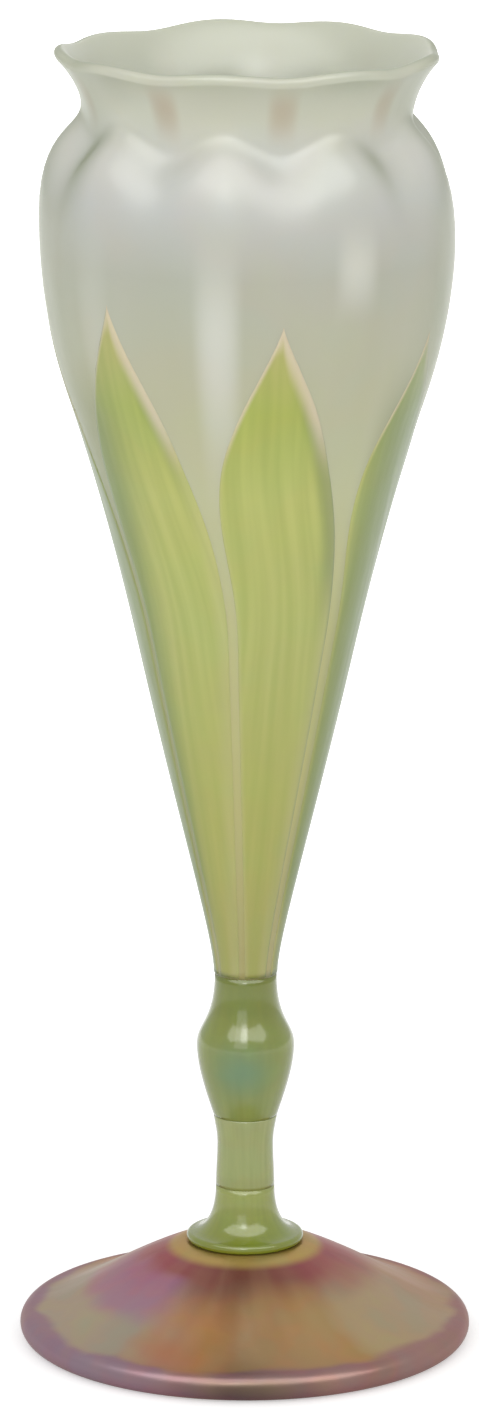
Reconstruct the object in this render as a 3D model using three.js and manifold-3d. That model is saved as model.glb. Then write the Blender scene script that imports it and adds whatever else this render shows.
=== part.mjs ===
// Floriform vase: a ruffled opal glass bowl with seven pulled leaves, on a knopped stem and a domed foot.
// Millimetres, +Z up. The origin is the centre of the ring that the foot stands on, and the front is -Y.
// Every piece is its own gather of glass. They are joined hot, end to end, on flat seats, and nothing moves.

import * as THREE from "three";
import { mergeVertices } from "three/addons/utils/BufferGeometryUtils.js";
import Module from "manifold-3d";

// A curve below says how an outline leaves its start and reaches its end. A flare is the radius gained per
// millimetre of height, and a reach is how far that flare holds, as a share of the height between them.

// Foot: a hollow dome with a rolled edge
const footRadius = 53.3;
const footHeight = 23.3;
const footWall = 3.6;
const rollHeight = 6.4;
const rollBulge = 3.2;
const restWidth = 4;
const domeCurve = { startFlare: -15, startReach: 0.03, endFlare: -2.57, endReach: 0.396 };

// Pad that joins the stem to the foot
const padRadius = 13.8;
const padHeight = 13.7;
const padEdgeHeight = 2.2;
const padSeatMargin = 0.5;
const padCurve = { startFlare: -5, startReach: 0.07, endFlare: 0, endReach: 0.56 };

// Stem and knop, with the radius of each hot joint
const stemFootRadius = 6.9;
const stemWaistRadius = 6.6;
const stemHeight = 17.2;
const stemWaistHeight = 10.3;
const knopFootRadius = 7.5;
const knopRadius = 11.5;
const knopHeight = 34.6;
const knopWideHeight = 17.3;
const stemLowerCurve = { startFlare: 0, startReach: 0.4, endFlare: 0, endReach: 0.4 };
const stemUpperCurve = { startFlare: 0, startReach: 0.4, endFlare: 0.12, endReach: 0.3 };
const knopLowerCurve = { startFlare: 0.32, startReach: 0.28, endFlare: 0, endReach: 0.33 };
const knopUpperCurve = { startFlare: 0, startReach: 0.28, endFlare: 0, endReach: 0.68 };

// Bowl: the radius at each station, and the rise to it from the station below
const bowlFootRadius = 7.3;
const flankRadius = 24.8;
const flankRise = 78;
const swellRadius = 41.1;
const swellRise = 60;
const bellyRadius = 48;
const bellyRise = 43;
const neckRadius = 38.3;
const neckRise = 25;
const mouthRadius = 44.4;
const lipRise = 13.3;
const bowlWall = 2.8;
const cavityFloor = 11;
const cavityRound = 11;
const flankFlare = 0.222;
const swellFlare = 0.335;
const flankCurve = { startFlare: 0, startReach: 0.104, endFlare: flankFlare, endReach: 0.553 };
const swellCurve = { startFlare: flankFlare, startReach: 0.333, endFlare: swellFlare, endReach: 0.333 };
const bellyCurve = { startFlare: swellFlare, startReach: 0.35, endFlare: 0, endReach: 0.35 };
const neckCurve = { startFlare: 0, startReach: 0.77, endFlare: 0, endReach: 0.214 };
const lipCurve = { startFlare: 0, startReach: 0.39, endFlare: 1, endReach: 0.186 };
const cavityCurve = { startFlare: 8, startReach: 0.06, endFlare: 0.3, endReach: 0.5 };

// Nine optic lobes start under the belly, are deepest on the shoulder and ruffle the lip. Their crests
// keep the outline above, and in the creases between them it is drawn in and down.
const lobeCount = 9;
const lobeAzimuth = THREE.MathUtils.degToRad(-8.5);
const lobeStart = 165;
const shoulderStart = 193;
const shoulderEnd = 200;
const creaseDepth = 1.2;
const creaseDrop = 6.5;
const creaseRound = 0.15;
const lipCreaseDepth = 1.2;
const lipCreaseDrop = 1.2;

// Pulled leaves, laid flush into shallow pockets of the bowl
const leafCount = 7;
const leafAzimuth = THREE.MathUtils.degToRad(19.5);
const leafHalfAngle = THREE.MathUtils.degToRad(24);
const leafLean = THREE.MathUtils.degToRad(-9.5);
const leafLeanStart = 85;
const leafLeanEnd = 132;
const leafBodyHeight = 104;
const leafTipLength = 57;
const leafTipHalfWidth = 0.3;
const leafShoulderPower = 2.4;
const leafDrawPower = 1.4;
const leafThickness = 0.9;
const leafGap = 0.35;
const pocketOverrun = 1;

// Button that covers the scar of the pontil rod, under the foot
const buttonRadius = 6.5;
const buttonHeight = 3;
const buttonEdgeDrop = 1.2;

// Facets
const bowlSides = lobeCount * 8;
const footSides = 48;
const stemSides = 32;
const leafColumns = 6;
const leafTipRows = 9;

// Heights of the seats above the table
const padSeat = footHeight;
const stemSeat = padSeat + padHeight;
const knopSeat = stemSeat + stemHeight;
const bowlSeat = knopSeat + knopHeight;

// Heights above the bowl's own base
const flankHeight = flankRise;
const swellHeight = flankHeight + swellRise;
const bellyHeight = swellHeight + bellyRise;
const neckHeight = bellyHeight + neckRise;
const lipHeight = neckHeight + lipRise;

const wasm = await Module();
wasm.setup();

// A smooth stretch of outline between two [radius, height] points
function stretch(start, end, curve, steps) {
  const rise = end[1] - start[1];
  const startHold = rise * curve.startReach;
  const endHold = rise * curve.endReach;
  const bezier = new THREE.CubicBezierCurve(
    new THREE.Vector2(start[0], start[1]),
    new THREE.Vector2(start[0] + curve.startFlare * startHold, start[1] + startHold),
    new THREE.Vector2(end[0] - curve.endFlare * endHold, end[1] - endHold),
    new THREE.Vector2(end[0], end[1]),
  );
  return bezier.getPoints(steps).map((point) => [point.x, point.y]);
}

// An arc of an ellipse, from one angle to another, in degrees from the outward direction
function arc(centre, radii, fromDegrees, toDegrees, steps) {
  return Array.from({ length: steps + 1 }, (_, step) => {
    const angle = THREE.MathUtils.degToRad(fromDegrees + ((toDegrees - fromDegrees) * step) / steps);
    return [centre[0] + radii[0] * Math.cos(angle), centre[1] + radii[1] * Math.sin(angle)];
  });
}

// Stretches that follow each other, with each shared point once
function chain(...stretches) {
  return stretches.flatMap((points, index) => (index === 0 ? points : points.slice(1)));
}

// The unit normal of an outline at one of its points, towards the left of its run
function leftNormal(outline, index) {
  const before = outline[Math.max(index - 1, 0)];
  const after = outline[Math.min(index + 1, outline.length - 1)];
  const run = Math.hypot(after[0] - before[0], after[1] - before[1]);
  return [(before[1] - after[1]) / run, (after[0] - before[0]) / run];
}

// The outline moved by a distance to the left of its run, which is inwards when it runs up the outside
function inset(outline, distance) {
  return outline.map((point, index) => {
    const normal = leftNormal(outline, index);
    return [point[0] + normal[0] * distance, point[1] + normal[1] * distance];
  });
}

// The geometry with only its positions, each shared corner once and no collapsed triangle
function tidy(geometry) {
  geometry.deleteAttribute("normal");
  geometry.deleteAttribute("uv");
  const merged = mergeVertices(geometry, 1e-4);
  const corners = merged.getIndex().array;
  const kept = [];
  for (let first = 0; first < corners.length; first += 3) {
    const [a, b, c] = corners.slice(first, first + 3);
    if (a !== b && b !== c && c !== a) {
      kept.push(a, b, c);
    }
  }
  merged.setIndex(kept);
  return merged;
}

// The solid that an outline sweeps about Z. The outline starts and ends on the axis and runs up the outside.
function revolve(outline, sides, firstAzimuth = 0) {
  const points = outline.map(([radius, height]) => new THREE.Vector2(radius, height));
  const lathe = new THREE.LatheGeometry(points, sides, firstAzimuth);
  lathe.rotateX(Math.PI / 2);
  return tidy(lathe);
}

// A curved plate of rows and columns of points. pointAt(row, column, outer) gives a corner of either face.
function plate(rows, columns, pointAt) {
  const positions = [];
  const faceSize = (rows + 1) * (columns + 1);
  for (const outer of [true, false]) {
    for (let row = 0; row <= rows; row += 1) {
      for (let column = 0; column <= columns; column += 1) {
        positions.push(...pointAt(row, column, outer).toArray());
      }
    }
  }
  const outerCorner = (row, column) => row * (columns + 1) + column;
  const innerCorner = (row, column) => faceSize + outerCorner(row, column);
  const triangles = [];
  const quad = (a, b, c, d) => triangles.push(a, b, c, a, c, d);
  for (let row = 0; row < rows; row += 1) {
    for (let column = 0; column < columns; column += 1) {
      const cell = [[row, column], [row, column + 1], [row + 1, column + 1], [row + 1, column]];
      quad(...cell.map((corner) => outerCorner(...corner)));
      quad(...cell.reverse().map((corner) => innerCorner(...corner)));
    }
    quad(outerCorner(row, 0), outerCorner(row + 1, 0), innerCorner(row + 1, 0), innerCorner(row, 0));
    quad(
      innerCorner(row, columns),
      innerCorner(row + 1, columns),
      outerCorner(row + 1, columns),
      outerCorner(row, columns),
    );
  }
  for (let column = 0; column < columns; column += 1) {
    quad(
      innerCorner(0, column),
      innerCorner(0, column + 1),
      outerCorner(0, column + 1),
      outerCorner(0, column),
    );
    quad(
      outerCorner(rows, column),
      outerCorner(rows, column + 1),
      innerCorner(rows, column + 1),
      innerCorner(rows, column),
    );
  }
  const geometry = new THREE.BufferGeometry();
  geometry.setAttribute("position", new THREE.Float32BufferAttribute(positions, 3));
  geometry.setIndex(triangles);
  return geometry;
}

function toManifold(geometry) {
  return new wasm.Manifold(
    new wasm.Mesh({
      numProp: 3,
      vertProperties: new Float32Array(geometry.getAttribute("position").array),
      triVerts: new Uint32Array(geometry.getIndex().array),
    }),
  );
}

function toGeometry(solid) {
  const mesh = solid.getMesh();
  const geometry = new THREE.BufferGeometry();
  geometry.setAttribute("position", new THREE.Float32BufferAttribute(mesh.vertProperties, mesh.numProp));
  geometry.setIndex(Array.from(mesh.triVerts));
  return geometry;
}

function piece(name, geometry, material, height = 0) {
  geometry.computeVertexNormals();
  const mesh = new THREE.Mesh(geometry, new THREE.MeshStandardMaterial(material));
  mesh.name = name;
  mesh.position.z = height;
  return mesh;
}

// Foot: the dome's underside follows its outside at the wall's thickness, down to the rest ring
function footGeometry() {
  const rollCentre = [footRadius - rollBulge, rollHeight / 2];
  const roll = arc(rollCentre, [rollBulge, rollHeight / 2], -90, 90, 6);
  const rollTop = [rollCentre[0], rollHeight];
  const seatEdge = [padRadius + padSeatMargin, footHeight];
  const dome = stretch(rollTop, seatEdge, domeCurve, 7);
  const ringInside = rollCentre[0] - restWidth;
  const ceiling = footHeight - footWall;
  const underside = inset(dome, footWall)
    .filter(([radius, height]) => radius < ringInside && height < ceiling)
    .reverse();
  const hollow = [[0, ceiling], [seatEdge[0] - footWall, ceiling], ...underside, [ringInside, 0]];
  return revolve([...hollow, ...roll, ...dome.slice(1), [0, footHeight]], footSides);
}

// Pad: a rounded edge, drawn up into the stem
function padGeometry() {
  const edgeRadius = padEdgeHeight / 2;
  const edge = arc([padRadius - edgeRadius, edgeRadius], [edgeRadius, edgeRadius], -90, 80, 4);
  const draw = stretch(edge[edge.length - 1], [stemFootRadius, padHeight], padCurve, 6);
  return revolve([[0, 0], ...chain(edge, draw), [0, padHeight]], stemSides);
}

function stemGeometry() {
  const waist = [stemWaistRadius, stemWaistHeight];
  const outline = chain(
    stretch([stemFootRadius, 0], waist, stemLowerCurve, 3),
    stretch(waist, [knopFootRadius, stemHeight], stemUpperCurve, 3),
  );
  return revolve([[0, 0], ...outline, [0, stemHeight]], stemSides);
}

// Knop: an inverted baluster, widest below its middle
function knopGeometry() {
  const wide = [knopRadius, knopWideHeight];
  const outline = chain(
    stretch([knopFootRadius, 0], wide, knopLowerCurve, 5),
    stretch(wide, [bowlFootRadius, knopHeight], knopUpperCurve, 7),
  );
  return revolve([[0, 0], ...outline, [0, knopHeight]], stemSides);
}

// Outside of the bowl, from its base up to the start of the lip's round edge
const lipEdgeRadius = bowlWall / 2;
const lipCentre = [mouthRadius - lipEdgeRadius, lipHeight - lipEdgeRadius];
const lipStart = [
  lipCentre[0] + lipEdgeRadius * Math.SQRT1_2,
  lipCentre[1] - lipEdgeRadius * Math.SQRT1_2,
];
const bowlOutside = chain(
  stretch([bowlFootRadius, 0], [flankRadius, flankHeight], flankCurve, 7),
  stretch([flankRadius, flankHeight], [swellRadius, swellHeight], swellCurve, 4),
  stretch([swellRadius, swellHeight], [bellyRadius, bellyHeight], bellyCurve, 4),
  stretch([bellyRadius, bellyHeight], [neckRadius, neckHeight], neckCurve, 7),
  stretch([neckRadius, neckHeight], lipStart, lipCurve, 4),
);

// Moves a point of the bowl in and down where it lies between two optic lobes
function ruffle(point) {
  const azimuth = Math.atan2(point.x, -point.y);
  const fromCrease = Math.cos((lobeCount * (azimuth - lobeAzimuth)) / 2);
  const crest = Math.hypot(1, creaseRound);
  const crease = (crest - Math.hypot(fromCrease, creaseRound)) / (crest - creaseRound);
  const grown = THREE.MathUtils.smoothstep(point.z, lobeStart, shoulderStart);
  const settled = THREE.MathUtils.smoothstep(point.z, shoulderEnd, lipHeight);
  const inward = crease * THREE.MathUtils.lerp(creaseDepth * grown, lipCreaseDepth, settled);
  const downward = crease * THREE.MathUtils.lerp(creaseDrop * grown, lipCreaseDrop, settled);
  return new THREE.Vector3(
    point.x - inward * Math.sin(azimuth),
    point.y + inward * Math.cos(azimuth),
    point.z - downward,
  );
}

// The point of the bowl's outer surface at an azimuth and a height, moved in by a depth
function bowlSurface(azimuth, height, depth) {
  const below = bowlOutside.findLastIndex(([, station]) => station <= height);
  const lower = THREE.MathUtils.clamp(below, 0, bowlOutside.length - 2);
  const [low, high] = [bowlOutside[lower], bowlOutside[lower + 1]];
  const share = THREE.MathUtils.clamp((height - low[1]) / (high[1] - low[1]), 0, 1);
  const normals = [leftNormal(bowlOutside, lower), leftNormal(bowlOutside, lower + 1)];
  const inward = THREE.MathUtils.lerp(normals[0][0], normals[1][0], share);
  const upward = THREE.MathUtils.lerp(normals[0][1], normals[1][1], share);
  const radius = THREE.MathUtils.lerp(low[0], high[0], share) + inward * depth;
  return ruffle(
    new THREE.Vector3(radius * Math.sin(azimuth), -radius * Math.cos(azimuth), height + upward * depth),
  );
}

// One leaf's solid: full width up to the body's top, then drawn out to a fine tip. It leans to one side.
// The pocket is the same shape, grown by a clearance and cut through the surface.
function leafSolid(number, foot, depth, proud, clearance) {
  const middle = leafAzimuth + (number * 2 * Math.PI) / leafCount;
  const stations = bowlOutside.map(([, height]) => height);
  const bodyHeights = stations.filter((height) => height > foot && height < leafBodyHeight);
  const tipHeights = Array.from({ length: leafTipRows + 1 }, (_, row) => {
    return leafBodyHeight + ((leafTipLength + clearance) * row) / leafTipRows;
  });
  const heights = [foot, ...bodyHeights, ...tipHeights];
  const geometry = plate(heights.length - 1, leafColumns, (row, column, outer) => {
    const tipShare = Math.max(row - heights.length + leafTipRows + 1, 0) / leafTipRows;
    const surface = bowlSurface(middle, heights[row], 0);
    const fullness = (1 - tipShare ** leafShoulderPower) ** leafDrawPower;
    const radius = Math.hypot(surface.x, surface.y);
    const half = Math.max(leafHalfAngle * fullness, leafTipHalfWidth / radius) + clearance / radius;
    const lean = leafLean * THREE.MathUtils.smoothstep(heights[row], leafLeanStart, leafLeanEnd);
    const azimuth = middle + lean + half * ((2 * column) / leafColumns - 1);
    return bowlSurface(azimuth, heights[row], outer ? -proud : depth);
  });
  return toManifold(geometry);
}

// Bowl: a thin wall open at the ruffled mouth, with a pocket for each leaf
function bowlGeometry() {
  const inside = inset(bowlOutside, bowlWall);
  const lip = arc(lipCentre, [lipEdgeRadius, lipEdgeRadius], -45, 135, 4);
  const floorTop = inside.findIndex(([, height]) => height > cavityFloor + cavityRound);
  const cavity = inside.slice(floorTop, -1).reverse();
  const bottom = stretch([0, cavityFloor], inside[floorTop], cavityCurve, 4);
  const outline = [[0, 0], ...bowlOutside, ...lip.slice(1), ...cavity, ...bottom.reverse().slice(1)];
  const blank = revolve(outline, bowlSides, lobeAzimuth);
  const positions = blank.getAttribute("position");
  for (let index = 0; index < positions.count; index += 1) {
    positions.setXYZ(index, ...ruffle(new THREE.Vector3().fromBufferAttribute(positions, index)).toArray());
  }
  let solid = toManifold(blank);
  const pocketDepth = leafThickness + leafGap;
  for (let number = 0; number < leafCount; number += 1) {
    solid = solid.subtract(leafSolid(number, -pocketOverrun, pocketDepth, pocketOverrun, leafGap));
  }
  return toGeometry(solid);
}

// Button: a flat disc against the underside of the foot, with a rounded lower edge
function buttonGeometry() {
  const edgeCentre = [buttonRadius - buttonEdgeDrop, buttonEdgeDrop];
  const edge = arc(edgeCentre, [buttonEdgeDrop, buttonEdgeDrop], -90, 0, 3);
  return revolve([[0, 0], ...edge, [buttonRadius, buttonHeight], [0, buttonHeight]], stemSides);
}

const opalGlass = { color: 0xc4c5b6, roughness: 0.3, metalness: 0 };
const leafGlass = { color: 0xa9b074, roughness: 0.3, metalness: 0 };
const oliveGlass = { color: 0x86905a, roughness: 0.2, metalness: 0 };
const stemGlass = { color: 0x9fa878, roughness: 0.25, metalness: 0 };
const lustreGlass = { color: 0x9c7a6c, roughness: 0.3, metalness: 0.3 };

const vase = new THREE.Group();
vase.add(piece("foot", footGeometry(), lustreGlass));
vase.add(piece("pontil_button", buttonGeometry(), lustreGlass, footHeight - footWall - buttonHeight));
vase.add(piece("foot_pad", padGeometry(), oliveGlass, padSeat));
vase.add(piece("stem", stemGeometry(), stemGlass, stemSeat));
vase.add(piece("knop", knopGeometry(), oliveGlass, knopSeat));

const flower = new THREE.Group();
flower.position.z = bowlSeat;
flower.add(piece("bowl", bowlGeometry(), opalGlass));
for (let number = 0; number < leafCount; number += 1) {
  const leaf = toGeometry(leafSolid(number, leafGap, leafThickness, 0, 0));
  flower.add(piece(`leaf_${number + 1}`, leaf, leafGlass));
}
vase.add(flower);

export default vase;
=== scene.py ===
# Floriform vase: opal bowl with pulled leaves, green stemwork and a lustred foot.
# Sizes are in millimetres and become metres where a mesh is made. The front is -Y.

import math

import bpy
from mathutils import Matrix, Quaternion, Vector
from mathutils.geometry import interpolate_bezier


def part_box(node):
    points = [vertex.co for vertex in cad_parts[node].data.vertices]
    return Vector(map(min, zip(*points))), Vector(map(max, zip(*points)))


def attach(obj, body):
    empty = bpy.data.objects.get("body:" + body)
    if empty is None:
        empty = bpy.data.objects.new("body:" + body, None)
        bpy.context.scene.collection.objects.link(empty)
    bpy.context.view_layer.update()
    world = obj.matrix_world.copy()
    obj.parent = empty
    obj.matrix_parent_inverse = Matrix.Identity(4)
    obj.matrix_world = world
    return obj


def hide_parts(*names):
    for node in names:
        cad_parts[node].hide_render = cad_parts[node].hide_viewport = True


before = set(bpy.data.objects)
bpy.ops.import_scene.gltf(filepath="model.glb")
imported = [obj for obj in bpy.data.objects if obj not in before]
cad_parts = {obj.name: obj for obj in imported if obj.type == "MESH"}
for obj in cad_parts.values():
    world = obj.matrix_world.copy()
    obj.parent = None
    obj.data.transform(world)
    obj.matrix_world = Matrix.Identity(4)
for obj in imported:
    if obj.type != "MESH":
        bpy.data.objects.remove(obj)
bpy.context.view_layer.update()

MM = 0.001
ROUND = 0.5523  # handle length of a Bezier quarter circle, as a share of its radius
DIAGONAL = math.sqrt(0.5)


def seat_of(node):
    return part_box(node)[0].z / MM


def top_of(node):
    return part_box(node)[1].z / MM


def radius_of(node):
    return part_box(node)[1].y / MM


# Sizes of the frame
PAD_SEAT = seat_of("foot_pad")
STEM_SEAT = seat_of("stem")
KNOP_SEAT = seat_of("knop")
BOWL_SEAT = seat_of("bowl")
BUTTON_SEAT = seat_of("pontil_button")
FOOT_RADIUS = radius_of("foot")
PAD_RADIUS = radius_of("foot_pad")
KNOP_RADIUS = radius_of("knop")
BUTTON_RADIUS = radius_of("pontil_button")
LIP_TOP = top_of("bowl")

# A handle says how far out and up a Bezier outline is led on from a point. Where the outline runs
# upright or flared, two handles together say how far they reach below and above the point.

# Foot
ROLL_BULGE = 3.2
ROLL_HEIGHT = 6.4
ROLL_TOP_HANDLE = (-7.6, 0.5)
REST_WIDTH = 4
SEAT_MARGIN = 0.5
SEAT_HANDLE = (17.2, -6.7)
CEILING = top_of("pontil_button")
CEILING_RADIUS = 10.7
CEILING_HANDLE = (12, -2.6)
UNDERSIDE_RADIUS = 45.4
UNDERSIDE_HEIGHT = 3.7
UNDERSIDE_HANDLE = (-12, 5.6)
FOOT_SIDES = 288

# Button that covers the pontil's scar
BUTTON_EDGE = 1.2
BUTTON_SIDES = 64

# Pad
PAD_EDGE = 1.1
PAD_EDGE_HANDLE = (-3.9, 0.5)
PAD_TOP_HANDLE = (0, -6.4)
PAD_SIDES = 128

# Stem and knop
STEM_FOOT_RADIUS = 6.9
STEM_FOOT_HANDLE = (0, 4.1)
STEM_WAIST_RADIUS = 6.6
STEM_WAIST_HEIGHT = 10.3
STEM_WAIST_HANDLES = (4.1, 2.8)
STEM_TOP_HANDLE = (-0.25, -2.1)
KNOP_FOOT_RADIUS = radius_of("stem")
KNOP_FOOT_HANDLE = (1.6, 4.8)
KNOP_WIDE_HEIGHT = 17.3
KNOP_WIDE_HANDLES = (5.7, 4.8)
KNOP_TOP_HANDLE = (0, -11.8)
STEM_SIDES = 96

# Bowl: radius, height above its seat, flare (the radius gained per millimetre of height), and how
# far the handles reach below and above
BOWL_FOOT_RADIUS = 7.3
BOWL_FOOT_HANDLE = (0, 8.1)
FLANK = (24.8, 78, 0.222, 43.1, 20)
SWELL = (41.1, 138, 0.335, 20, 15)
BELLY = (48, 181, 0, 15, 19.3)
NECK = (38.3, 206, 0, 5.4, 4.3)
MOUTH_RADIUS = 44.4
MOUTH_HANDLE = (-2, -2)
LIP_HEIGHT = LIP_TOP - BOWL_SEAT
WALL = 2.8

# Hollow of the bowl, below the swell
CAVITY_HANDLES = (30, 20)
CAVITY_FLOOR = 11
CAVITY_FLOOR_HANDLE = (7, 0)

# How far the surface faces the axis where the milky inside starts and where it is full
INNER_FADE = (-0.2, 0.5)

# Optic lobes, with creases drawn in and down between them, and a sag in the lip at the back left
LOBES = 9
BOWL_SIDES = LOBES * 24
LOBE_AZIMUTH = math.radians(-8.5)
LOBE_START = 165
SHOULDER_START = 193
SHOULDER_END = 200
CREASE_DEPTH = 0.7
CREASE_DROP = 5
CREASE_ROUND = 0.9
LIP_CREASE = 0.9
SAG_AZIMUTH = math.radians(-134)
SAG_WIDTH = math.radians(45)
SAG = 1.1

# Leaves, each with its own length of tip and turned by its own degrees, as pulled by hand
LEAVES = 7
LEAF_AZIMUTH = math.radians(19.5)
LEAF_HALF = math.radians(24.9)
LEAF_LEAN = math.radians(-9.5)
LEAN_START = 85
LEAN_END = 132
LEAF_BODY = 104
LEAF_TIPS = (61, 55, 59, 61, 58, 60, 64)
LEAF_TURNS = (0, 3, 0, -1, 1, 0, -1)
LEAF_FOOT = 0.35
LEAF_SHOULDER_POWER = 2.1
LEAF_DRAW_POWER = 1.5
LEAF_END_HALF_WIDTH = 0.3
LEAF_THICKNESS = 0.9
LEAF_PROUD = 0.16
LEAF_SINK = 0.36
LEAF_SINK_WIDTH = 0.9
LEAF_STEPS_ACROSS = 28
LEAF_STEPS_ALONG = 110


def smoothstep(value, low, high):
    share = min(max((value - low) / (high - low), 0), 1)
    return share * share * (3 - 2 * share)


# Meshes

def deselect():
    bpy.ops.object.select_all(action="DESELECT")


def station(radius, height, before=(0, 0), after=(0, 0)):
    """A point of an outline, with its two handles."""
    return {"at": (radius, height), "before": before, "after": after}


def flared(radius, height, flare, below, above):
    """A point of the bowl's outline, where it leans out by its flare."""
    return station(radius, height, before=(-below * flare, -below), after=(above * flare, above))


def turned(name, stations, height, sides, steps):
    """An outline drawn as a Bezier curve, turned about Z as on a lathe."""
    deselect()
    bpy.ops.curve.primitive_bezier_curve_add(location=(0, 0, 0))
    piece = bpy.context.object
    piece.name = name
    piece.data.resolution_u = steps
    spline = piece.data.splines[0]
    spline.bezier_points.add(len(stations) - len(spline.bezier_points))
    for point, place in zip(spline.bezier_points, stations):
        point.handle_left_type = point.handle_right_type = "FREE"
        radius, level = place["at"]
        level += height
        point.co = (radius * MM, 0, level * MM)
        for key, (out, up) in (("handle_left", place["before"]), ("handle_right", place["after"])):
            setattr(point, key, ((radius + out) * MM, 0, (level + up) * MM))
    bpy.ops.object.convert(target="MESH")
    piece.data.name = name
    screw = piece.modifiers.new("turn", "SCREW")
    screw.axis = "Z"
    screw.steps = screw.render_steps = sides
    screw.use_merge_vertices = True
    screw.merge_threshold = 1e-7
    bpy.ops.object.modifier_apply(modifier="turn")
    bpy.ops.object.mode_set(mode="EDIT")
    bpy.ops.mesh.select_all(action="SELECT")
    bpy.ops.mesh.remove_doubles(threshold=1e-6)
    bpy.ops.mesh.normals_make_consistent(inside=False)
    bpy.ops.object.mode_set(mode="OBJECT")
    bpy.ops.object.shade_smooth()
    return piece


def move_vertices(piece, place):
    """Moves each vertex to place(its point), both in millimetres."""
    for vertex in piece.data.vertices:
        vertex.co = place(vertex.co / MM) * MM
    piece.data.update()


def ruffled(point):
    """A point of the bowl, in millimetres above its seat, moved with the optic lobes and the lip's sag."""
    azimuth = math.atan2(point.x, -point.y)
    crest = math.hypot(1, CREASE_ROUND)
    crease = crest - math.hypot(math.cos((azimuth - LOBE_AZIMUTH) * LOBES / 2), CREASE_ROUND)
    crease /= crest - CREASE_ROUND
    grown = smoothstep(point.z, LOBE_START, SHOULDER_START)
    settled = smoothstep(point.z, SHOULDER_END, LIP_HEIGHT)
    inward = crease * (CREASE_DEPTH * grown * (1 - settled) + LIP_CREASE * settled)
    downward = crease * (CREASE_DROP * grown * (1 - settled) + LIP_CREASE * settled)
    sag = SAG * (1 - smoothstep(abs(azimuth - SAG_AZIMUTH), 0, SAG_WIDTH))
    downward += sag * smoothstep(point.z, NECK[1], LIP_HEIGHT)
    narrower = 1 - inward / max(math.hypot(point.x, point.y), 1)
    return Vector((point.x * narrower, point.y * narrower, point.z - downward))


def bowl_outside():
    """Outline of the bowl's outside, from its seat to the start of the lip's round edge."""
    edge = WALL / 2 * DIAGONAL
    lip = (MOUTH_RADIUS - WALL / 2 + edge, LIP_HEIGHT - WALL / 2 - edge)
    return [
        station(BOWL_FOOT_RADIUS, 0, after=BOWL_FOOT_HANDLE),
        *(flared(*place) for place in (FLANK, SWELL, BELLY, NECK)),
        station(*lip, before=MOUTH_HANDLE),
    ]


def inside_of(stations, wall):
    """The same outline moved in by the wall's thickness and run downwards."""
    moved = []
    for place in stations:
        along = Vector(place["after"]) - Vector(place["before"])
        along.normalize()
        radius, height = place["at"]
        inner = (radius - along.y * wall, height + along.x * wall)
        moved.append(station(*inner, place["after"], place["before"]))
    return moved[::-1]


def make_bowl():
    outside = bowl_outside()
    inside = inside_of(outside[2:], WALL)
    lip_edge = WALL / 2
    hold = lip_edge * ROUND * DIAGONAL
    outside[-1]["after"] = (hold, hold)
    lip_crown = station(
        MOUTH_RADIUS - lip_edge + lip_edge * DIAGONAL,
        LIP_HEIGHT - lip_edge * (1 - DIAGONAL),
        before=(hold, -hold),
        after=(-hold, hold),
    )
    inside[0]["before"] = (hold, hold)
    radius, height, flare = FLANK[:3]
    normal = math.hypot(1, flare)
    below, above = CAVITY_HANDLES
    hollow = [
        station(
            radius - WALL / normal,
            height + WALL * flare / normal,
            before=(above * flare, above),
            after=(-below * flare, -below),
        ),
        station(0, CAVITY_FLOOR, before=CAVITY_FLOOR_HANDLE),
    ]
    stations = [station(0, 0), *outside, lip_crown, *inside, *hollow]
    piece = turned("bowl_glass", stations, 0, BOWL_SIDES, steps=13)
    inner_of = piece.data.attributes.new("inner", "FLOAT", "POINT")
    for vertex in piece.data.vertices:
        inwards = -vertex.normal.xy.dot(vertex.co.xy) / max(vertex.co.xy.length, MM)
        inner_of.data[vertex.index].value = smoothstep(inwards, *INNER_FADE)
    move_vertices(piece, ruffled)
    piece.data.transform(Matrix.Translation((0, 0, BOWL_SEAT * MM)))
    return piece


def outline_points(stations, steps=24):
    """The outline as many points, with radius as x and height as y."""
    points = []
    for low, high in zip(stations, stations[1:]):
        knots = [
            Vector((*low["at"], 0)),
            Vector((low["at"][0] + low["after"][0], low["at"][1] + low["after"][1], 0)),
            Vector((high["at"][0] + high["before"][0], high["at"][1] + high["before"][1], 0)),
            Vector((*high["at"], 0)),
        ]
        points += interpolate_bezier(*knots, steps)[:-1]
    return points


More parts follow.
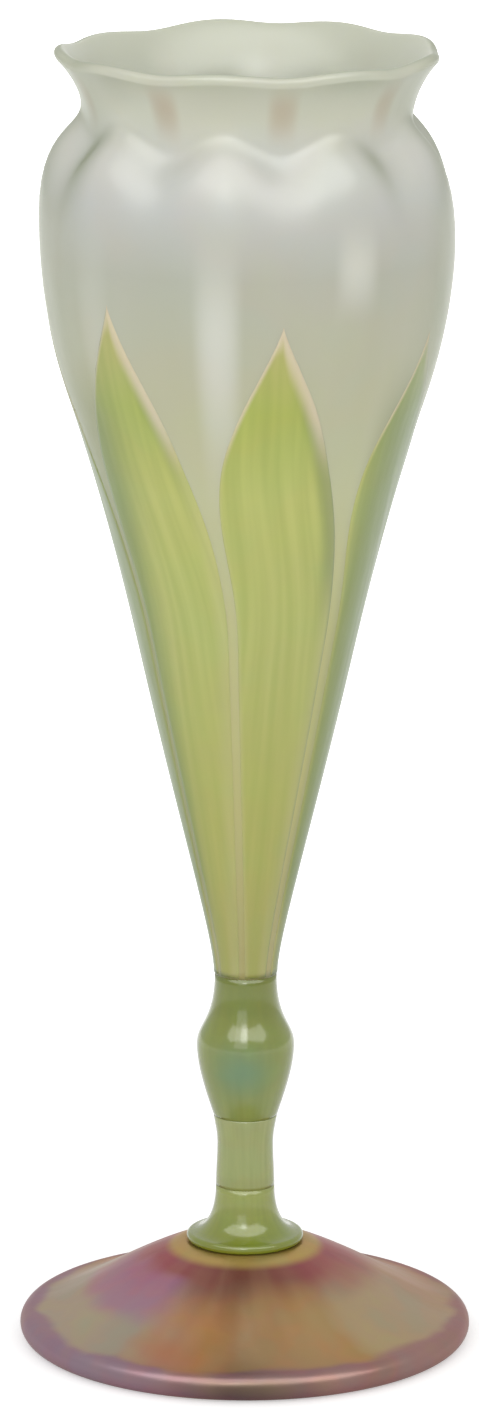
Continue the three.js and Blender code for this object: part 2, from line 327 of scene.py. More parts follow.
def make_leaf(number, skin):
    """A curved plate on the bowl's outside, drawn out to a fine tip, with its edges sunk in."""
    deselect()
    bpy.ops.mesh.primitive_grid_add(
        x_subdivisions=LEAF_STEPS_ACROSS, y_subdivisions=LEAF_STEPS_ALONG, size=1, location=(0, 0, 0)
    )
    piece = bpy.context.object
    piece.name = piece.data.name = f"leaf_{number + 1}_glass"
    middle = LEAF_AZIMUTH + number * math.tau / LEAVES + math.radians(LEAF_TURNS[number])
    tip_length = LEAF_TIPS[number]
    across_of = piece.data.attributes.new("across", "FLOAT", "POINT")
    margin_of = piece.data.attributes.new("margin", "FLOAT", "POINT")
    for vertex in piece.data.vertices:
        side = vertex.co.x * 2
        height = LEAF_FOOT + (vertex.co.y + 0.5) * (LEAF_BODY + tip_length - LEAF_FOOT)
        tip = max(height - LEAF_BODY, 0) / tip_length
        radius, tilt = skin(height)
        half = LEAF_HALF * max(1 - tip ** LEAF_SHOULDER_POWER, 0) ** LEAF_DRAW_POWER
        half = max(half, LEAF_END_HALF_WIDTH / radius)
        azimuth = middle + LEAF_LEAN * smoothstep(height, LEAN_START, LEAN_END) + half * side
        margin = (1 - abs(side)) * half * radius
        lift = LEAF_PROUD - LEAF_SINK * (1 - smoothstep(margin, 0, LEAF_SINK_WIDTH))
        reach = radius + lift * math.cos(tilt)
        place = ruffled(Vector((reach * math.sin(azimuth), -reach * math.cos(azimuth), height)))
        vertex.co = (place + Vector((0, 0, BOWL_SEAT - lift * math.sin(tilt)))) * MM
        across_of.data[vertex.index].value = side * half * radius
        margin_of.data[vertex.index].value = margin
    solid = piece.modifiers.new("thickness", "SOLIDIFY")
    solid.thickness = LEAF_THICKNESS * MM
    solid.offset = -1
    bpy.ops.object.modifier_apply(modifier="thickness")
    bpy.ops.object.shade_smooth()
    return piece


def make_leaves():
    points = outline_points(bowl_outside())

    def skin(height):
        """Radius of the bowl's outside at a height, and how far its surface leans out."""
        after = next(index for index, point in enumerate(points) if point.y > height)
        low, high = points[max(after - 1, 0)], points[after]
        share = (height - low.y) / (high.y - low.y)
        return low.x + (high.x - low.x) * share, math.atan2(high.x - low.x, high.y - low.y)

    return [make_leaf(number, skin) for number in range(LEAVES)]


def make_knop():
    height = BOWL_SEAT - KNOP_SEAT
    below, above = KNOP_WIDE_HANDLES
    stations = [
        station(0, 0),
        station(KNOP_FOOT_RADIUS, 0, after=KNOP_FOOT_HANDLE),
        station(KNOP_RADIUS, KNOP_WIDE_HEIGHT, before=(0, -below), after=(0, above)),
        station(BOWL_FOOT_RADIUS, height, before=KNOP_TOP_HANDLE),
        station(0, height),
    ]
    return turned("knop_glass", stations, KNOP_SEAT, STEM_SIDES, steps=20)


def make_stem():
    height = KNOP_SEAT - STEM_SEAT
    below, above = STEM_WAIST_HANDLES
    stations = [
        station(0, 0),
        station(STEM_FOOT_RADIUS, 0, after=STEM_FOOT_HANDLE),
        station(STEM_WAIST_RADIUS, STEM_WAIST_HEIGHT, before=(0, -below), after=(0, above)),
        station(KNOP_FOOT_RADIUS, height, before=STEM_TOP_HANDLE),
        station(0, height),
    ]
    return turned("stem_glass", stations, STEM_SEAT, STEM_SIDES, steps=14)


def make_pad():
    height = STEM_SEAT - PAD_SEAT
    hold = PAD_EDGE * ROUND
    stations = [
        station(0, 0),
        station(PAD_RADIUS - PAD_EDGE, 0, after=(hold, 0)),
        station(PAD_RADIUS, PAD_EDGE, before=(0, -hold), after=(0, hold)),
        station(PAD_RADIUS - PAD_EDGE, PAD_EDGE * 2, before=(hold, 0), after=PAD_EDGE_HANDLE),
        station(STEM_FOOT_RADIUS, height, before=PAD_TOP_HANDLE),
        station(0, height),
    ]
    return turned("pad_glass", stations, PAD_SEAT, PAD_SIDES, steps=12)


def make_foot():
    ring = FOOT_RADIUS - ROLL_BULGE
    half = ROLL_HEIGHT / 2
    bulge_hold = ROLL_BULGE * ROUND
    half_hold = half * ROUND
    stations = [
        station(0, CEILING),
        station(CEILING_RADIUS, CEILING, after=CEILING_HANDLE),
        station(UNDERSIDE_RADIUS, UNDERSIDE_HEIGHT, before=UNDERSIDE_HANDLE),
        station(ring - REST_WIDTH, 0),
        station(ring, 0, after=(bulge_hold, 0)),
        station(FOOT_RADIUS, half, before=(0, -half_hold), after=(0, half_hold)),
        station(ring, ROLL_HEIGHT, before=(bulge_hold, 0), after=ROLL_TOP_HANDLE),
        station(PAD_RADIUS + SEAT_MARGIN, PAD_SEAT, before=SEAT_HANDLE),
        station(0, PAD_SEAT),
    ]
    return turned("foot_glass", stations, 0, FOOT_SIDES, steps=16)


def make_button():
    height = CEILING - BUTTON_SEAT
    hold = BUTTON_EDGE * ROUND
    stations = [
        station(0, 0),
        station(BUTTON_RADIUS - BUTTON_EDGE, 0, after=(hold, 0)),
        station(BUTTON_RADIUS, BUTTON_EDGE, before=(0, -hold)),
        station(BUTTON_RADIUS, height),
        station(0, height),
    ]
    return turned("button_glass", stations, BUTTON_SEAT, BUTTON_SIDES, steps=6)


# Node trees. Heights, radii and sizes are in millimetres, and azimuths in radians from the front. Four
# numbers for a patch say where it starts, is full, fades and ends.

def add(tree, kind, *inputs, output=0, **settings):
    """A node with its inputs in order, each a value, a socket or None, and the output that is asked for."""
    made = tree.nodes.new(kind)
    for key, value in settings.items():
        setattr(made, key, value)
    for socket, value in zip(made.inputs, inputs):
        feed(tree, socket, value)
    return made.outputs[output]


def feed(tree, socket, value):
    if isinstance(value, bpy.types.NodeSocket):
        tree.links.new(value, socket)
    elif value is not None:
        socket.default_value = value


def maths(tree, operation, *inputs):
    return add(tree, "ShaderNodeMath", *inputs, operation=operation)


def product(tree, first, *others):
    for other in others:
        first = maths(tree, "MULTIPLY", first, other)
    return first


def between(tree, value, low, high, start=0.0, end=1.0):
    """value taken from the range low to high to the range start to end, smoothly and clamped."""
    return add(
        tree, "ShaderNodeMapRange", value, low, high, start, end, interpolation_type="SMOOTHSTEP"
    )


def spread(tree, value, low, high):
    """Where value lies between low and high, from 0 to 1."""
    return add(tree, "ShaderNodeMapRange", value, low, high)


def hill(tree, value, start, full, fade, end):
    """Rises from 0 at start to 1 at full, and falls from 1 at fade to 0 at end."""
    return product(tree, between(tree, value, start, full), between(tree, value, end, fade))


def blended(tree, share, first, second, mode="MIX"):
    made = tree.nodes.new("ShaderNodeMix")
    made.data_type = "RGBA"
    made.blend_type = mode
    feed(tree, made.inputs["Factor"], share)
    feed(tree, made.inputs[6], first)
    feed(tree, made.inputs[7], second)
    return made.outputs[2]


def colour(shade):
    """A shade as it looks on a screen, red, green and blue from 0 to 255, made linear."""
    return tuple(
        value / 12.92 if value <= 0.04045 else ((value + 0.055) / 1.055) ** 2.4
        for value in (level / 255 for level in shade)
    )


def rgba(shade):
    return (*colour(shade), 1)


def ramp(tree, value, stops):
    """A colour ramp. stops are (place, linear colour) pairs."""
    made = tree.nodes.new("ShaderNodeValToRGB")
    elements = made.color_ramp.elements
    while len(elements) < len(stops):
        elements.new(0.5)
    for element, (place, linear) in zip(elements, stops):
        element.position = place
        element.color = (*linear, 1)
    feed(tree, made.inputs[0], value)
    return made.outputs[0]


def shade_ramp(tree, value, stops):
    """A colour ramp. stops are (place, shade) pairs."""
    return ramp(tree, value, [(place, colour(shade)) for place, shade in stops])


def noise(tree, vector, scale, detail=2, roughness=0.5):
    made = tree.nodes.new("ShaderNodeTexNoise")
    feed(tree, made.inputs["Vector"], vector)
    feed(tree, made.inputs["Scale"], scale)
    feed(tree, made.inputs["Detail"], detail)
    feed(tree, made.inputs["Roughness"], roughness)
    return made


def object_place(tree):
    return add(tree, "ShaderNodeTexCoord", output=3)


def own_value(tree, name):
    """The number that the piece's mesh holds under this name."""
    return add(tree, "ShaderNodeAttribute", attribute_name=name, output=2)


def new_group(name, inputs, outputs):
    """An empty node group. inputs are (name, kind, default) and outputs are (name, kind)."""
    tree = bpy.data.node_groups.new(name, "ShaderNodeTree")
    for label, kind, default in inputs:
        socket = tree.interface.new_socket(label, in_out="INPUT", socket_type=kind)
        socket.default_value = default
    for label, kind in outputs:
        tree.interface.new_socket(label, in_out="OUTPUT", socket_type=kind)
    return tree, tree.nodes.new("NodeGroupInput").outputs, tree.nodes.new("NodeGroupOutput").inputs


def use_group(tree, group, **inputs):
    """The outputs of a node group that is placed in the tree."""
    made = tree.nodes.new("ShaderNodeGroup")
    made.node_tree = group
    for label, value in inputs.items():
        feed(tree, made.inputs[label], value)
    return made.outputs


FLOAT = "NodeSocketFloat"
COLOUR = "NodeSocketColor"

STREAK_CONTRAST = (0.2, 0.8)
TOOTH_SIZE = 0.9
WAVE_SIZE = 11
# Painted shade where the vase turns away from the front at each side
SIDE_SHADE_AZIMUTHS = (0.72, 1.0, 1.4, 1.9)
SIDE_SHADE_HEIGHTS = (96, 116, 222, 244)
GLASS_IOR = 1.5
BUMP_HEIGHT = 0.3


def place_group():
    """Height in millimetres, azimuth in radians from the front, and distance from the axis."""
    tree, _, outputs = new_group(
        "round_place", [], [("Height", FLOAT), ("Azimuth", FLOAT), ("Radius", FLOAT)]
    )
    parts = tree.nodes.new("ShaderNodeSeparateXYZ")
    tree.links.new(object_place(tree), parts.inputs[0])
    x, y, z = parts.outputs
    tree.links.new(maths(tree, "DIVIDE", z, MM), outputs["Height"])
    tree.links.new(maths(tree, "ARCTAN2", x, product(tree, y, -1.0)), outputs["Azimuth"])
    square = maths(tree, "MULTIPLY_ADD", x, x, product(tree, y, y))
    tree.links.new(maths(tree, "DIVIDE", maths(tree, "SQRT", square), MM), outputs["Radius"])
    return tree


def streak_group():
    """Long streaks, as glass has that was pulled along its length."""
    tree, inputs, outputs = new_group(
        "pulled_streaks",
        [(label, FLOAT, 1) for label in ("Across", "Along", "Width", "Length", "Seed")],
        [("Streak", FLOAT)],
    )
    spot = add(
        tree,
        "ShaderNodeCombineXYZ",
        maths(tree, "DIVIDE", inputs["Across"], inputs["Width"]),
        maths(tree, "DIVIDE", inputs["Along"], inputs["Length"]),
        inputs["Seed"],
    )
    streaks = noise(tree, spot, 1, detail=1.5, roughness=0.4)
    tree.links.new(between(tree, streaks.outputs[0], *STREAK_CONTRAST), outputs["Streak"])
    return tree


# Linear tints of a fumed surface, near the grey that an overlay leaves alone
FILM_TINTS = (
    (0.30, (0.52, 0.60, 0.66)),
    (0.42, (0.56, 0.56, 0.62)),
    (0.50, (0.66, 0.53, 0.55)),
    (0.58, (0.66, 0.60, 0.48)),
    (0.70, (0.54, 0.64, 0.55)),
)


def lustre_group():
    """A faint drift of rose, gold and blue over a colour, as a fumed surface has."""
    tree, inputs, outputs = new_group(
        "lustre_drift",
        [("Color", COLOUR, (1, 1, 1, 1)), ("Strength", FLOAT, 0.1), ("Size", FLOAT, 20), ("Seed", FLOAT, 0)],
        [("Color", COLOUR)],
    )
    clouds = noise(tree, object_place(tree), maths(tree, "DIVIDE", 1 / MM, inputs["Size"]))
    clouds.noise_dimensions = "4D"
    tree.links.new(inputs["Seed"], clouds.inputs["W"])
    film = ramp(tree, clouds.outputs[0], FILM_TINTS)
    tree.links.new(blended(tree, inputs["Strength"], inputs["Color"], film, mode="OVERLAY"), outputs["Color"])
    return tree


def skin_group():
    """Height of a satin skin: a fine tooth over slow waves."""
    tree, inputs, outputs = new_group(
        "satin_skin", [("Tooth", FLOAT, 0.3), ("Wave", FLOAT, 1)], [("Height", FLOAT)]
    )
    spot = object_place(tree)
    heights = []
    for label, size in (("Tooth", TOOTH_SIZE), ("Wave", WAVE_SIZE)):
        bumps = noise(tree, spot, 1 / (size * MM))
        heights.append(product(tree, bumps.outputs[0], inputs[label]))
    tree.links.new(maths(tree, "ADD", *heights), outputs["Height"])
    return tree


def side_shade_group():
    """Painted shade, deeper green, where the vase turns away from the front at each side, from 0 to 1."""
    tree, _, outputs = new_group("flank_shade", [], [("Shade", FLOAT)])
    height, azimuth = use_group(tree, PLACE)[:2]
    aside = hill(tree, maths(tree, "ABSOLUTE", azimuth), *SIDE_SHADE_AZIMUTHS)
    level = hill(tree, height, *SIDE_SHADE_HEIGHTS)
    tree.links.new(product(tree, aside, level), outputs["Shade"])
    return tree


PLACE = place_group()
STREAKS = streak_group()
LUSTRE = lustre_group()
SKIN = skin_group()
SIDE_SHADE = side_shade_group()


def new_material(name):
    material = bpy.data.materials.new(name)
    material.use_nodes = True
    tree = material.node_tree
    return material, tree, tree.nodes["Principled BSDF"]


def set_inputs(shader, **values):
    """Plain values for the shader's sockets, whose names are written with _ for a space."""
    for label, value in values.items():
        shader.inputs[label.replace("_", " ")].default_value = value


def set_surface(tree, shader, body, streak, roughness):
    """Gives the shader its colour, and its roughness off and on the streaks."""
    tree.links.new(body, shader.inputs["Base Color"])
    tree.links.new(between(tree, streak, 0.0, 1.0, *roughness), shader.inputs["Roughness"])


def skin_bump(tree, shader, tooth, wave, strength):
    bump = tree.nodes.new("ShaderNodeBump")
    set_inputs(bump, Strength=strength, Distance=BUMP_HEIGHT * MM)
    tree.links.new(use_group(tree, SKIN, Tooth=tooth, Wave=wave)[0], bump.inputs["Height"])
    tree.links.new(bump.outputs[0], shader.inputs["Normal"])


def streaks_of(tree, across, along, width, length, seed):
    return use_group(
        tree, STREAKS, Across=across, Along=along, Width=width, Length=length, Seed=seed
    )[0]


def lustred(tree, body, strength, size, seed):
    return use_group(tree, LUSTRE, Color=body, Strength=strength, Size=size, Seed=seed)[0]


def tinted(tree, body, share, strength, shade):
    """body with a shade laid over it where share is high."""
    return blended(tree, product(tree, share, strength), body, rgba(shade))


def glancing(tree, start):
    """How far a surface turns edge-on, from 0 at start to 1 at its outline."""
    facing = add(tree, "ShaderNodeLayerWeight", 0.5, output=1)
    return between(tree, facing, start, 1.0)


# Looks. Shades are as they look on a screen. Roughness is given off and on the streaks, and a streak
# radius is where streaks that are laid out by azimuth have their true width.

OPAL_SPAN = (88, 308)
# The opal's own shades by height; the stops from 0.86 to 0.95 hold a painted highlight on the shoulder and
# painted light on the neck
OPAL_SHADES_AND_HIGHLIGHT = (
    (0.00, (176, 168, 100)),
    (0.20, (196, 192, 116)),
    (0.40, (200, 200, 134)),
    (0.55, (204, 206, 160)),
    (0.68, (194, 196, 164)),
    (0.79, (188, 190, 172)),
    (0.86, (204, 206, 200)),
    (0.91, (216, 217, 208)),
    (0.95, (214, 216, 196)),
    (1.00, (206, 209, 190)),
)
CREASES = (-0.55, -1.1)  # by the cosine of the turn round a lobe, which is 1 on its crest
# Painted brown shade in the creases of the neck
CREASE_SHADE = (184, 160, 128)
CREASE_SHADE_HEIGHTS = (289, 299, 299, 307)
CRESTS = (0.3, 1.15)
# Painted highlight down the lobes' crests
CREST_HIGHLIGHT = (226, 227, 214)
HIGHLIGHT_AZIMUTHS = (-0.1, 0.5)
HIGHLIGHT_FEET = (200.0, 250.0)
HIGHLIGHT_TOPS = (248.0, 264.0)
HIGHLIGHT_END = 278
HIGHLIGHT_MIDDLE = 0.1
HIGHLIGHT_ASIDE = (0.9, 0.3)
HIGHLIGHT_STRENGTHS = (0.3, 1.0)
OPAL_STREAK = (214, 216, 204)
OPAL_STREAK_RADIUS = 42.0
OPAL_ROUGHNESS = (0.36, 0.3)
OPAL_SIDE_SHADE = (136, 144, 78)
OPAL_OUTLINE_SHADE = (112, 124, 70)
# Inside: milky white with painted light standing in for the glow through the wall
DEEP_MILK_AND_GLOW = (230, 233, 220)
BRIM_MILK_AND_GLOW = (212, 215, 196)
BRIM_HEIGHTS = (290, 303)


def opal_material():
    """Opal glass: milky and pale and yellower between the leaves, with painted shade in the creases of the
    neck, at the sides and at the outline, painted highlights on the shoulder and down the crests, and painted
    light inside.
    """
    material, tree, shader = new_material("opal_glass")
    height, azimuth = use_group(tree, PLACE)[:2]
    # Own shades by height, with a painted highlight on the shoulder and painted light on the neck
    body = shade_ramp(tree, spread(tree, height, *OPAL_SPAN), OPAL_SHADES_AND_HIGHLIGHT)

    # Painted brown shade in the creases, under the lip
    turn = maths(tree, "MULTIPLY_ADD", azimuth, float(LOBES), -LOBES * LOBE_AZIMUTH)
    lobe = maths(tree, "COSINE", turn)
    crease_shade = product(tree, between(tree, lobe, *CREASES), hill(tree, height, *CREASE_SHADE_HEIGHTS))
    body = tinted(tree, body, crease_shade, 0.6, CREASE_SHADE)

    # Painted highlights down the lobes' crests, as pale streaks, strongest at the front, long at the left and
    # short at the right
    aside = maths(tree, "ABSOLUTE", maths(tree, "SUBTRACT", azimuth, HIGHLIGHT_MIDDLE))
    front = between(tree, aside, *HIGHLIGHT_ASIDE, *HIGHLIGHT_STRENGTHS)
    highlight_foot = between(tree, azimuth, *HIGHLIGHT_AZIMUTHS, *HIGHLIGHT_FEET)
    highlight_top = between(tree, azimuth, *HIGHLIGHT_AZIMUTHS, *HIGHLIGHT_TOPS)
    crest_highlight = hill(tree, height, highlight_foot, highlight_top, highlight_top, HIGHLIGHT_END)
    crest_highlight = product(tree, crest_highlight, between(tree, lobe, *CRESTS), front)
    body = tinted(tree, body, crest_highlight, 0.95, CREST_HIGHLIGHT)

    across = product(tree, azimuth, OPAL_STREAK_RADIUS)
    streak = streaks_of(tree, across, height, width=11.0, length=120.0, seed=3.0)
    body = tinted(tree, body, streak, 0.15, OPAL_STREAK)
    body = lustred(tree, body, strength=0.12, size=26.0, seed=1.0)
    # Painted shade at the sides
    body = tinted(tree, body, use_group(tree, SIDE_SHADE)[0], 0.6, OPAL_SIDE_SHADE)
    # Painted shade towards the outline, where the surface turns edge-on
    body = tinted(tree, body, glancing(tree, 0.3), 0.8, OPAL_OUTLINE_SHADE)

    # Inside, milky white with painted light standing in for the glow through the wall, a little darker
    # towards the brim
    milk_and_glow = blended(tree, between(tree, height, *BRIM_HEIGHTS), rgba(DEEP_MILK_AND_GLOW), rgba(BRIM_MILK_AND_GLOW))
    body = blended(tree, product(tree, own_value(tree, "inner"), 0.9), body, milk_and_glow)

    set_surface(tree, shader, body, streak, OPAL_ROUGHNESS)
    set_inputs(
        shader,
        Subsurface_Weight=0.3,
        Subsurface_Radius=(1.0, 0.95, 0.7),
        Subsurface_Scale=2.5 * MM,
        Transmission_Weight=0.1,
        IOR=GLASS_IOR,
    )
    skin_bump(tree, shader, tooth=0.15, wave=1.4, strength=0.35)
    return material


LEAF_SPAN = (88, 250)
LEAF_SHADES = (
    (0.00, (166, 164, 92)),
    (0.25, (178, 180, 98)),
    (0.55, (184, 190, 112)),
    (0.75, (192, 198, 112)),
    (0.88, (176, 186, 88)),
    (1.00, (184, 180, 112)),
)
LEAF_STREAK = (150, 164, 76)
LEAF_ROUGHNESS = (0.3, 0.36)
LEAF_MARGIN = (128, 146, 72)
MARGIN_SIDE = (-1.0, 4.0)
MARGIN_WIDTHS = (-0.6, 0.6, 2.0, 6.0)
MARGIN_HEIGHTS = (170, 195, 225, 242)
MARGIN_GAP = -0.17
MARGIN_GAP_FADE = (0.1, 0.5)
LEAF_SIDE_SHADE = (124, 142, 46)
LEAF_CREAM = (220, 206, 178)
CREAM_SIDES = (-2.0, 2.0)
CREAM_WIDTHS = (1.8, 4.8)
CREAM_FADE = (1.0, 0.2)
CREAM_HEIGHTS = (212, 230)
CREAM_STRENGTHS = (0.15, 0.85)
LEAF_OUTLINE_SHADE = (84, 110, 50)


def leaf_material():
    """Pulled leaf: yellow-green, with a cream line round its tip, a dark right margin and long streaks."""
    material, tree, shader = new_material("leaf_glass")
    height, azimuth = use_group(tree, PLACE)[:2]
    across, margin = own_value(tree, "across"), own_value(tree, "margin")
    body = shade_ramp(tree, spread(tree, height, *LEAF_SPAN), LEAF_SHADES)
    streak = streaks_of(tree, across, height, width=2.2, length=60.0, seed=7.0)
    body = tinted(tree, body, streak, 0.4, LEAF_STREAK)

    # Dark right margins, left out just left of the front, where the left leaf's isn't dark
    right = product(tree, between(tree, across, *MARGIN_SIDE), hill(tree, margin, *MARGIN_WIDTHS))
    away = maths(tree, "ABSOLUTE", maths(tree, "SUBTRACT", azimuth, MARGIN_GAP))
    right = product(tree, right, hill(tree, height, *MARGIN_HEIGHTS), between(tree, away, *MARGIN_GAP_FADE))
    body = tinted(tree, body, right, 0.8, LEAF_MARGIN)
    # Painted shade at the sides
    body = tinted(tree, body, use_group(tree, SIDE_SHADE)[0], 0.75, LEAF_SIDE_SHADE)

    # Cream edge, wider at the right
    edge_width = between(tree, across, *CREAM_SIDES, *CREAM_WIDTHS)
    edge = between(tree, maths(tree, "DIVIDE", margin, edge_width), *CREAM_FADE)
    edge = product(tree, edge, between(tree, height, *CREAM_HEIGHTS, *CREAM_STRENGTHS))
    body = tinted(tree, body, edge, 1.0, LEAF_CREAM)
    body = lustred(tree, body, strength=0.12, size=18.0, seed=4.0)
    # Painted shade towards the outline, where the surface turns edge-on
    body = tinted(tree, body, glancing(tree, 0.2), 0.9, LEAF_OUTLINE_SHADE)

    set_surface(tree, shader, body, streak, LEAF_ROUGHNESS)
    set_inputs(
        shader,
        Subsurface_Weight=0.2,
        Subsurface_Radius=(0.8, 1.0, 0.4),
        Subsurface_Scale=2 * MM,
        IOR=GLASS_IOR,
    )
    skin_bump(tree, shader, tooth=0.15, wave=1.4, strength=0.35)
    return material


STEM_STREAK = (104, 122, 54)
STEM_STREAK_RADIUS = 8.0
STREAK_ROUGHENING = 0.06
STEM_OUTLINE_SHADE = (92, 110, 52)
# Painted teal reflection on the front of the knop
TEAL_REFLECTION = (106, 150, 120)
TEAL_REFLECTION_AZIMUTHS = (-1.1, -0.1, -0.1, 0.9)
TEAL_REFLECTION_HEIGHTS = (57, 67, 67, 77)


def stem_material(name, low, high, span, roughness):
    """Clear-bodied green glass, from a low to a high shade, drawn while hot, so that its streaks run up, with
    a painted teal reflection on the knop's front and painted shade at the outline.
    """
    material, tree, shader = new_material(name)
    height, azimuth = use_group(tree, PLACE)[:2]
    body = shade_ramp(tree, spread(tree, height, *span), ((0.0, low), (1.0, high)))
    across = product(tree, azimuth, STEM_STREAK_RADIUS)
    streak = streaks_of(tree, across, height, width=1.5, length=24.0, seed=11.0)
    body = tinted(tree, body, streak, 0.22, STEM_STREAK)
    # Painted teal reflection on the front of the knop
    teal_reflection = product(tree, hill(tree, azimuth, *TEAL_REFLECTION_AZIMUTHS), hill(tree, height, *TEAL_REFLECTION_HEIGHTS))
    body = tinted(tree, body, teal_reflection, 0.75, TEAL_REFLECTION)
    body = lustred(tree, body, strength=0.2, size=9.0, seed=6.0)
    # Painted shade towards the outline, where the surface turns edge-on
    body = tinted(tree, body, glancing(tree, 0.4), 0.5, STEM_OUTLINE_SHADE)

    set_surface(tree, shader, body, streak, (roughness, roughness + STREAK_ROUGHENING))
    set_inputs(
        shader, Transmission_Weight=0.18, IOR=GLASS_IOR, Coat_Weight=0.15, Coat_Roughness=0.08
    )
    skin_bump(tree, shader, tooth=0.05, wave=0.8, strength=0.25)
    return material


# Round the foot from the back, by the left (0.25), the front (0.5) and the right (0.75), to the back
FOOT_PANELS = (
    (0.00, (148, 134, 108)),
    (0.10, (154, 116, 76)),
    (0.20, (148, 142, 118)),
    (0.31, (150, 143, 120)),
    (0.39, (144, 134, 112)),
    (0.42, (148, 112, 86)),
    (0.45, (154, 108, 60)),
    (0.50, (150, 118, 84)),
    (0.57, (152, 118, 70)),
    (0.60, (150, 118, 68)),
    (0.63, (152, 136, 98)),
    (0.72, (154, 142, 112)),
    (0.86, (152, 114, 80)),
    (1.00, (148, 134, 108)),
)
DRIFT_SIZE = 22
DRIFT_SPAN = (0.3, 0.7)
TURN_DRIFT = 0.015
REACH_DRIFT = 2.0
# Rose lustre round the pad, with painted shade there that is darkest at the front
FRONT_ROSE_AND_SHADE = (112, 62, 49)
SIDE_ROSE_AND_SHADE = (136, 74, 74)
ROSE_AZIMUTHS = (0.2, 1.2)
ROSE_RADII = (21, 35)
VIOLET = (148, 98, 124)
VIOLET_AZIMUTHS = (-2.2, -1.5, -0.8, -0.45)
VIOLET_RADII = (21, 26, 34, 40)
RUBY = (158, 84, 46)
RUBY_AZIMUTHS = (-0.7, -0.42, -0.42, -0.2)
RUBY_RADII = (34, 43, 43, 50)
LEFT_ROLL = (122, 92, 118)
RIGHT_ROLL = (126, 86, 94)
ROLL_AZIMUTHS = (-0.9, 0.9)
ROLL_RADII = (48, 51)
ROLL_SHADOW = (74, 52, 44)
SHADOW_AZIMUTHS = (0.5, 0.0)
SHADOW_HEIGHTS = (7, 4)
PAD_RING = (162, 140, 74)
PAD_RING_RADII = (19.5, 16.5)
FOOT_STREAK = (164, 150, 116)
FOOT_STREAK_RADIUS = 34.0
FOOT_ROUGHNESS = (0.3, 0.38)


def foot_material():
    """Lustred glass: amber at the front, grey-gold at the sides, rose round the pad with painted shade there,
    violet at the roll, and a shadow low on the roll at the front.
    """
    material, tree, shader = new_material("lustre_glass")
    height, azimuth, radius = use_group(tree, PLACE)
    aside = maths(tree, "ABSOLUTE", azimuth)
    drift = noise(tree, object_place(tree), 1 / (DRIFT_SIZE * MM)).outputs[0]
    turn = maths(tree, "MULTIPLY_ADD", azimuth, 1 / math.tau, 0.5)
    turn = maths(tree, "ADD", turn, between(tree, drift, *DRIFT_SPAN, -TURN_DRIFT, TURN_DRIFT))
    reach = maths(tree, "ADD", radius, between(tree, drift, *DRIFT_SPAN, -REACH_DRIFT, REACH_DRIFT))
    # Rose lustre round the pad, with painted shade there that is darkest at the front
    rose = blended(tree, between(tree, aside, *ROSE_AZIMUTHS), rgba(FRONT_ROSE_AND_SHADE), rgba(SIDE_ROSE_AND_SHADE))
    body = blended(tree, between(tree, reach, *ROSE_RADII), rose, shade_ramp(tree, turn, FOOT_PANELS))

    # A violet patch at the left and a ruby one at the front left
    violet = product(tree, hill(tree, azimuth, *VIOLET_AZIMUTHS), hill(tree, reach, *VIOLET_RADII))
    body = tinted(tree, body, violet, 0.75, VIOLET)
    ruby = product(tree, hill(tree, azimuth, *RUBY_AZIMUTHS), hill(tree, reach, *RUBY_RADII))
    body = tinted(tree, body, ruby, 0.45, RUBY)

    # Roll, darker low down at the front, and the gold ring under the pad
    band = blended(tree, between(tree, azimuth, *ROLL_AZIMUTHS), rgba(LEFT_ROLL), rgba(RIGHT_ROLL))
    body = blended(tree, product(tree, between(tree, reach, *ROLL_RADII), 0.75), body, band)
    shadow = product(tree, between(tree, aside, *SHADOW_AZIMUTHS), between(tree, height, *SHADOW_HEIGHTS))
    body = tinted(tree, body, shadow, 0.85, ROLL_SHADOW)
    body = tinted(tree, body, between(tree, radius, *PAD_RING_RADII), 1.0, PAD_RING)

    across = product(tree, azimuth, FOOT_STREAK_RADIUS)
    streak = streaks_of(tree, across, radius, width=7.0, length=30.0, seed=15.0)
    body = tinted(tree, body, streak, 0.12, FOOT_STREAK)
    body = lustred(tree, body, strength=0.35, size=11.0, seed=9.0)

    set_surface(tree, shader, body, streak, FOOT_ROUGHNESS)
    set_inputs(
        shader,
        Metallic=0.6,
        Specular_Tint=(0.7, 0.6, 0.55, 1),
        IOR=GLASS_IOR,
        Thin_Film_Thickness=380,
        Thin_Film_IOR=1.7,
    )
    skin_bump(tree, shader, tooth=0.12, wave=1.6, strength=0.4)
    return material


def dress(piece, material, nodes):
    piece.data.materials.clear()
    piece.data.materials.append(material)
    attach(piece, "root")
    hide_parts(*nodes)


OPAL = opal_material()
LEAF = leaf_material()
OLIVE = stem_material("olive_glass", (150, 164, 86), (116, 126, 22), (60, 92), 0.12)
GREEN = stem_material("stem_glass", (166, 176, 104), (172, 182, 118), (35, 53), 0.15)
PAD = stem_material("pad_glass", (134, 146, 38), (164, 176, 92), (25, 36), 0.15)
FOOT = foot_material()

dress(make_bowl(), OPAL, ["bowl"])
for index, leaf in enumerate(make_leaves()):
    dress(leaf, LEAF, [f"leaf_{index + 1}"])
dress(make_knop(), OLIVE, ["knop"])
dress(make_stem(), GREEN, ["stem"])
dress(make_pad(), PAD, ["foot_pad"])
dress(make_foot(), FOOT, ["foot"])
dress(make_button(), FOOT, ["pontil_button"])


# Stage. Sizes and places are in metres.

GROUND_SIZE = 6
GROUND_DROP = 0.02 * MM  # keeps the ground clear of the ring that the foot rests on
GROUND_GREY = 0.8
GLOW_SPREAD = (0.08, 0.5)
GLOW_LEVELS = (0.42, 0.9)
WORLD_LIGHT = 0.85
WORLD_WHITE = 1.0
LENS = 195
SENSOR = 36
CAMERA_PLACE = (0, -1.75, 0.575)
CAMERA_AIM = (-0.0015, 0, 0.1514)
CAMERA_ROLL = math.radians(0.15)
CAMERA_REACH = 50


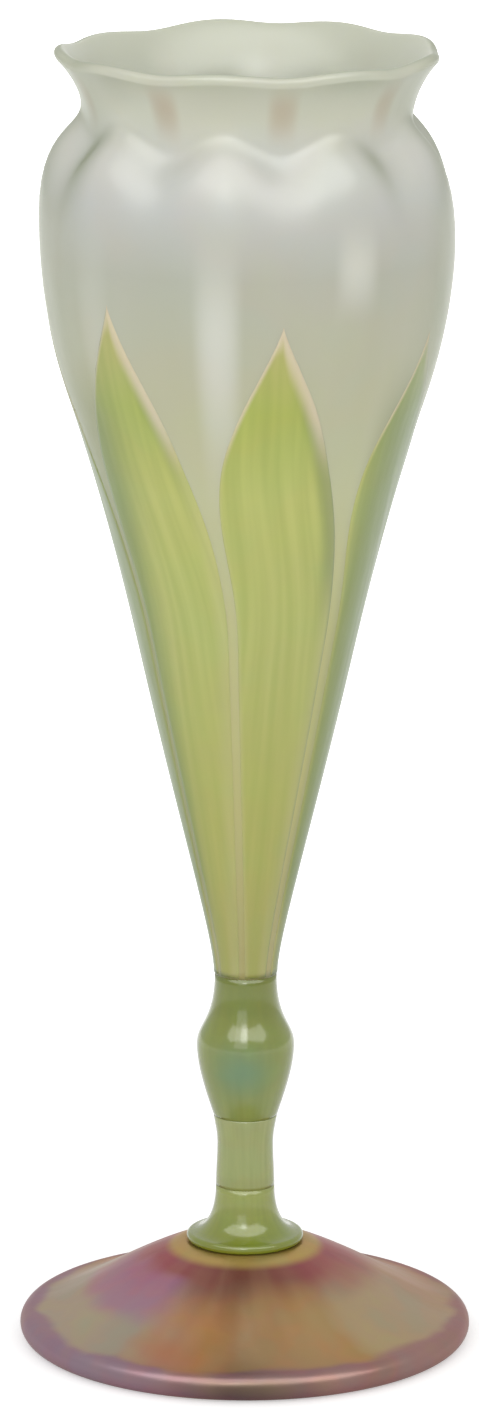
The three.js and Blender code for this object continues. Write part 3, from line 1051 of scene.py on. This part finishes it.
def seen_rays(tree):
    """1 for rays that show a thing itself: from the camera, in a reflection or through glass."""
    path = tree.nodes.new("ShaderNodeLightPath")
    seen = maths(tree, "MAXIMUM", path.outputs["Is Camera Ray"], path.outputs["Is Glossy Ray"])
    return maths(tree, "MAXIMUM", seen, path.outputs["Is Transmission Ray"])


def ground_material():
    """White ground that keeps the shadow and shows as white behind the vase and in its reflections."""
    material, tree, shader = new_material("white_ground")
    tree.nodes.remove(shader)
    diffuse = tree.nodes.new("ShaderNodeBsdfDiffuse")
    diffuse.inputs["Color"].default_value = (GROUND_GREY, GROUND_GREY, GROUND_GREY, 1)
    glow = tree.nodes.new("ShaderNodeEmission")
    away = add(tree, "ShaderNodeVectorMath", object_place(tree), operation="LENGTH", output=1)
    lift = between(tree, away, *GLOW_SPREAD, *GLOW_LEVELS)
    tree.links.new(product(tree, seen_rays(tree), lift), glow.inputs["Strength"])
    both = tree.nodes.new("ShaderNodeAddShader")
    tree.links.new(diffuse.outputs[0], both.inputs[0])
    tree.links.new(glow.outputs[0], both.inputs[1])
    tree.links.new(both.outputs[0], tree.nodes["Material Output"].inputs["Surface"])
    return material


def make_ground():
    deselect()
    bpy.ops.mesh.primitive_plane_add(size=GROUND_SIZE, location=(0, 0, -GROUND_DROP))
    ground = bpy.context.object
    ground.name = "ground"
    ground.data.materials.append(ground_material())


def make_soft_box(name, place, aim, size, power, only_shine=False):
    light = bpy.data.lights.new(name, "AREA")
    light.shape = "RECTANGLE"
    light.size, light.size_y = size
    light.energy = power
    lamp = bpy.data.objects.new(name, light)
    lamp.visible_diffuse = not only_shine
    lamp.location = place
    lamp.rotation_euler = (Vector(aim) - Vector(place)).to_track_quat("-Z", "Y").to_euler()
    bpy.context.scene.collection.objects.link(lamp)


def make_world():
    world = bpy.data.worlds.new("studio")
    bpy.context.scene.world = world
    world.use_nodes = True
    tree = world.node_tree
    background = tree.nodes["Background"]
    background.inputs["Color"].default_value = (1, 1, 1, 1)
    level = between(tree, seen_rays(tree), 0.0, 1.0, WORLD_LIGHT, WORLD_WHITE)
    tree.links.new(level, background.inputs["Strength"])


def make_camera():
    data = bpy.data.cameras.new("camera")
    data.sensor_width = SENSOR
    data.lens = LENS
    data.clip_end = CAMERA_REACH
    camera = bpy.data.objects.new("camera", data)
    camera.location = CAMERA_PLACE
    level = (Vector(CAMERA_AIM) - camera.location).to_track_quat("-Z", "Y")
    camera.rotation_euler = (level @ Quaternion((0, 0, 1), CAMERA_ROLL)).to_euler()
    bpy.context.scene.collection.objects.link(camera)
    bpy.context.scene.camera = camera


make_ground()
make_world()
make_soft_box("front", place=(-0.3, -1.5, 0.8), aim=(0, 0, 0.15), size=(0.9, 0.9), power=4)
make_soft_box(
    "spark", place=(-0.1, -1.3, 1.05), aim=(0, 0, 0.1), size=(0.4, 0.4), power=2.8, only_shine=True
)
make_soft_box(
    "ceiling", place=(0.15, -1.1, 1.35), aim=(0.15, -1.1, 0), size=(3.4, 1.6), power=53, only_shine=True
)
make_camera()
bpy.context.scene.view_settings.view_transform = "Standard"
